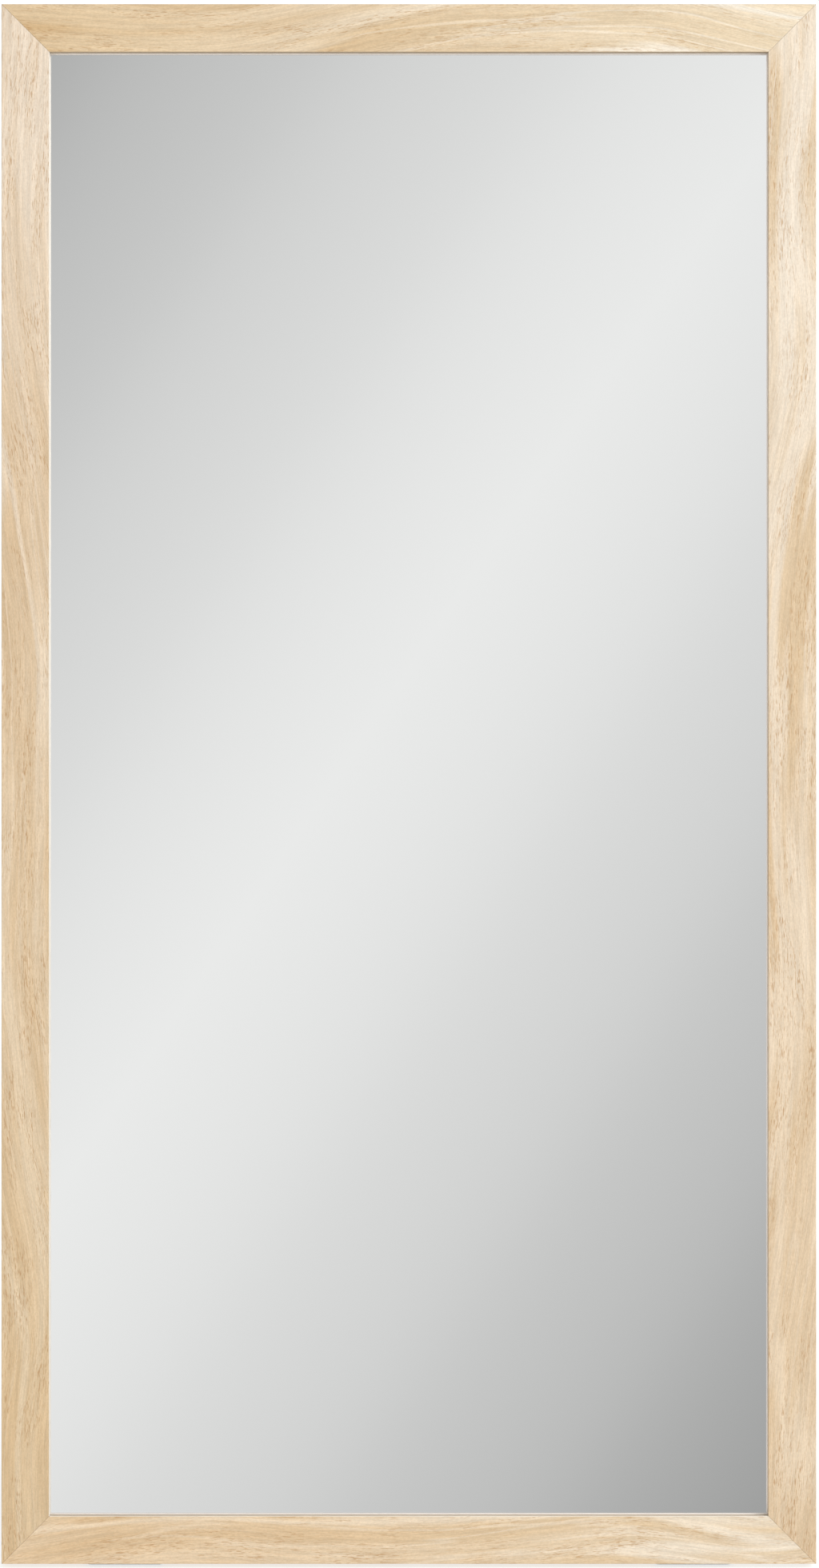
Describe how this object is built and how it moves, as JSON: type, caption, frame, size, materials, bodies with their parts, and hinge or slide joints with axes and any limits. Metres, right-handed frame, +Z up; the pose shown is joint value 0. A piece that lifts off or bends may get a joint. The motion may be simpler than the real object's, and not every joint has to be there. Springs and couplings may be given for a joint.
{
  "type": "floor mirror",
  "caption": "Full-length rectangular floor mirror in a flat mitred timber frame, on a folding timber easel, with strap hangers on its back.",
  "frame": {"origin": "on the floor, under the middle of the whole object, with the easel fully open", "axes": "+Z up, -Y towards the person looking into the glass, +X to that person's right; the frame leans back 9 degrees from +Z towards +Y"},
  "size_m": [0.862, 0.3464, 1.6355],
  "materials": {
    "frame_timber": "satin",
    "easel_timber": "satin",
    "silvered_glass": "polished",
    "corrugated_card": "matte",
    "hardboard": "matte",
    "zinc_plate": "satin",
    "black_steel": "satin",
    "clear_rubber": "matte",
    "black_rubber": "matte"
  },
  "bodies": {
    "framed_mirror": {"left_stile": "frame_timber", "right_stile": "frame_timber", "bottom_rail": "frame_timber", "top_rail": "frame_timber", "mirror_glass": "silvered_glass", "card_sheet": "corrugated_card", "backing_board": "hardboard", "corner_plate_bottom_left": "zinc_plate", "corner_screw_bottom_left_1": "zinc_plate", "corner_screw_bottom_left_2": "zinc_plate", "corner_screw_bottom_left_3": "zinc_plate", "corner_screw_bottom_left_4": "zinc_plate", "corner_plate_bottom_right": "zinc_plate", "corner_screw_bottom_right_1": "zinc_plate", "corner_screw_bottom_right_2": "zinc_plate", "corner_screw_bottom_right_3": "zinc_plate", "corner_screw_bottom_right_4": "zinc_plate", "corner_plate_top_left": "zinc_plate", "corner_screw_top_left_1": "zinc_plate", "corner_screw_top_left_2": "zinc_plate", "corner_screw_top_left_3": "zinc_plate", "corner_screw_top_left_4": "zinc_plate", "corner_plate_top_right": "zinc_plate", "corner_screw_top_right_1": "zinc_plate", "corner_screw_top_right_2": "zinc_plate", "corner_screw_top_right_3": "zinc_plate", "corner_screw_top_right_4": "zinc_plate", "floor_pad_left": "clear_rubber", "floor_pad_right": "clear_rubber", "axle_bracket_left": "black_steel", "bracket_screw_left_1": "zinc_plate", "bracket_screw_left_2": "zinc_plate", "bracket_screw_left_3": "zinc_plate", "bracket_screw_left_4": "zinc_plate", "axle_bolt_left": "zinc_plate", "axle_nut_left": "zinc_plate", "axle_bracket_right": "black_steel", "bracket_screw_right_1": "zinc_plate", "bracket_screw_right_2": "zinc_plate", "bracket_screw_right_3": "zinc_plate", "bracket_screw_right_4": "zinc_plate", "axle_bolt_right": "zinc_plate", "axle_nut_right": "zinc_plate", "hanger_strap_left": "zinc_plate", "hanger_screw_left_1": "zinc_plate", "hanger_screw_left_2": "zinc_plate", "hanger_strap_right": "zinc_plate", "hanger_screw_right_1": "zinc_plate", "hanger_screw_right_2": "zinc_plate"},
    "easel": {"lower_crossbar": "easel_timber", "upper_crossbar": "easel_timber", "easel_leg_left": "easel_timber", "easel_leg_right": "easel_timber", "leg_foot_left": "black_rubber", "leg_foot_right": "black_rubber"},
    "ring_left": {"hanger_ring_left": "zinc_plate"},
    "ring_right": {"hanger_ring_right": "zinc_plate"}
  },
  "joints": [
    {"name": "easel_fold", "type": "hinge", "parent": "framed_mirror", "child": "easel", "pos_m": [0, 0.03979, 1.10514], "axis": [-1, 0, 0], "range_deg": [0, 15.3]},
    {"name": "ring_left_swing", "type": "hinge", "parent": "framed_mirror", "child": "ring_left", "pos_m": [-0.4056, 0.06237, 1.31418], "axis": [1, 0, 0], "range_deg": [-8.5, 168]},
    {"name": "ring_right_swing", "type": "hinge", "parent": "framed_mirror", "child": "ring_right", "pos_m": [0.4056, 0.06237, 1.31418], "axis": [1, 0, 0], "range_deg": [-8.5, 168]}
  ]
}
